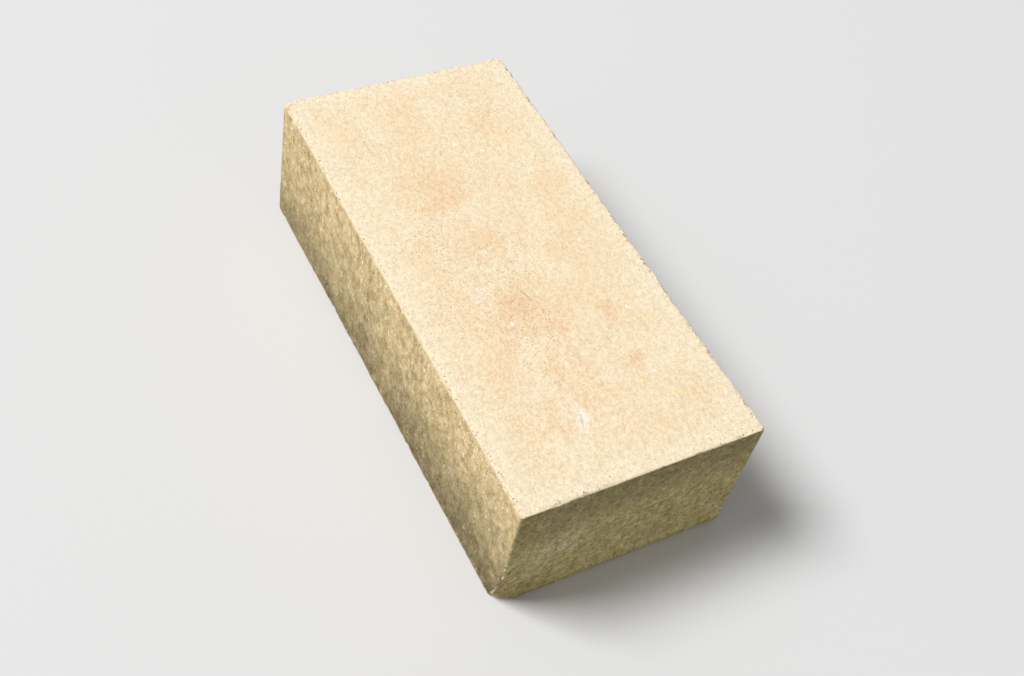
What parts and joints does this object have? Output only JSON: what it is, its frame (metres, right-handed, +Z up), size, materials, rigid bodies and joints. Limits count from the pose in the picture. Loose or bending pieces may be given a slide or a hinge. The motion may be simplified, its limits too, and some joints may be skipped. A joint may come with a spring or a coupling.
{
  "type": "clay brick",
  "caption": "Solid rectangular clay brick with pressed edges and a knocked lower corner, lying on its bed, for laying in mortar.",
  "frame": {"origin": "centre of the lower bed face, which it lies on", "axes": "+X along the length towards the near header, +Y across the width towards the right stretcher face, +Z up through the beds"},
  "size_m": [0.24, 0.114, 0.07],
  "materials": {
    "fired_clay": "matt, fine-grained, unglazed buff clay"
  },
  "bodies": {
    "root": {"brick": "fired_clay"}
  },
  "joints": []
}
